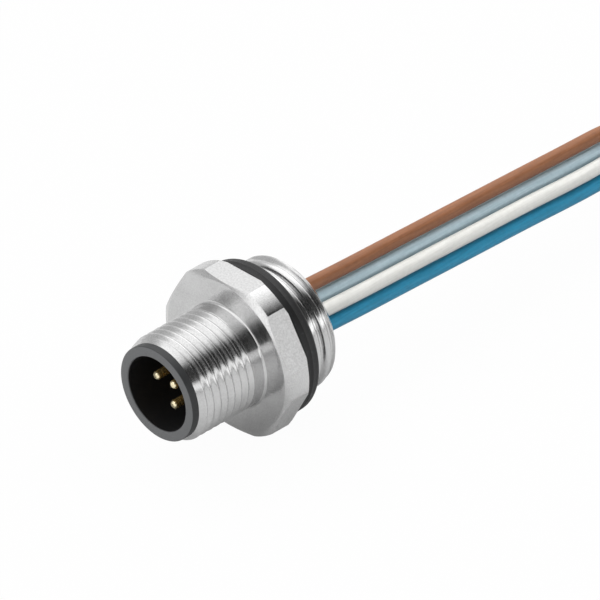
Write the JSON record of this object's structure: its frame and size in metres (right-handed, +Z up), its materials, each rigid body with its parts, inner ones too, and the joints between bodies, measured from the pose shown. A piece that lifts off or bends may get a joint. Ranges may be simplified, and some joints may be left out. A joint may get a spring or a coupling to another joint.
{
  "type": "circular panel connector with flying leads",
  "caption": "M12 A-coded male panel connector: threaded metal sleeve and hexagon flange, black contact carrier with gold pins, and coloured single leads folded in a hank.",
  "frame": {"origin": "on the connector's axis, in the plane of the flange's rear face, which faces the panel", "axes": "+Y runs along the axis from the mating end to the leads, +Z is up and square to two of the hexagon's flats, and +X is to the right when looking into the mating end"},
  "size_m": [0.0192, 0.1321, 0.018],
  "materials": {
    "nickel_plated_brass": "bright nickel plate over turned brass",
    "black_rubber": "smooth moulded, satin",
    "black_plastic": "fine matte moulded",
    "gold_plated_brass": "gold plate, bright",
    "black_resin": "cast resin, satin gloss",
    "tinned_copper": "tinned copper strands",
    "insulation_mixed": "extruded, satin, in the five colours of the leads",
    "black_strap": "satin",
    "insulation_brown": "extruded, satin",
    "insulation_white": "extruded, satin",
    "insulation_blue": "extruded, satin",
    "insulation_black": "extruded, satin",
    "insulation_grey": "extruded, satin"
  },
  "bodies": {
    "root": {"housing": "nickel_plated_brass", "sealing_ring": "black_rubber", "contact_carrier": "black_plastic", "pin_1": "gold_plated_brass", "pin_2": "gold_plated_brass", "pin_3": "gold_plated_brass", "pin_4": "gold_plated_brass", "pin_5": "gold_plated_brass", "potting": "black_resin", "core_brown": "tinned_copper", "core_white": "tinned_copper", "core_blue": "tinned_copper", "core_black": "tinned_copper", "core_grey": "tinned_copper", "lead_brown": "insulation_brown", "lead_white": "insulation_white", "lead_blue": "insulation_blue", "lead_black": "insulation_black", "lead_grey": "insulation_grey", "tip_brown": "tinned_copper", "tip_white": "tinned_copper", "tip_blue": "tinned_copper", "tip_black": "tinned_copper", "tip_grey": "tinned_copper", "lead_hank": "insulation_mixed", "hank_tie": "black_strap"}
  },
  "joints": []
}
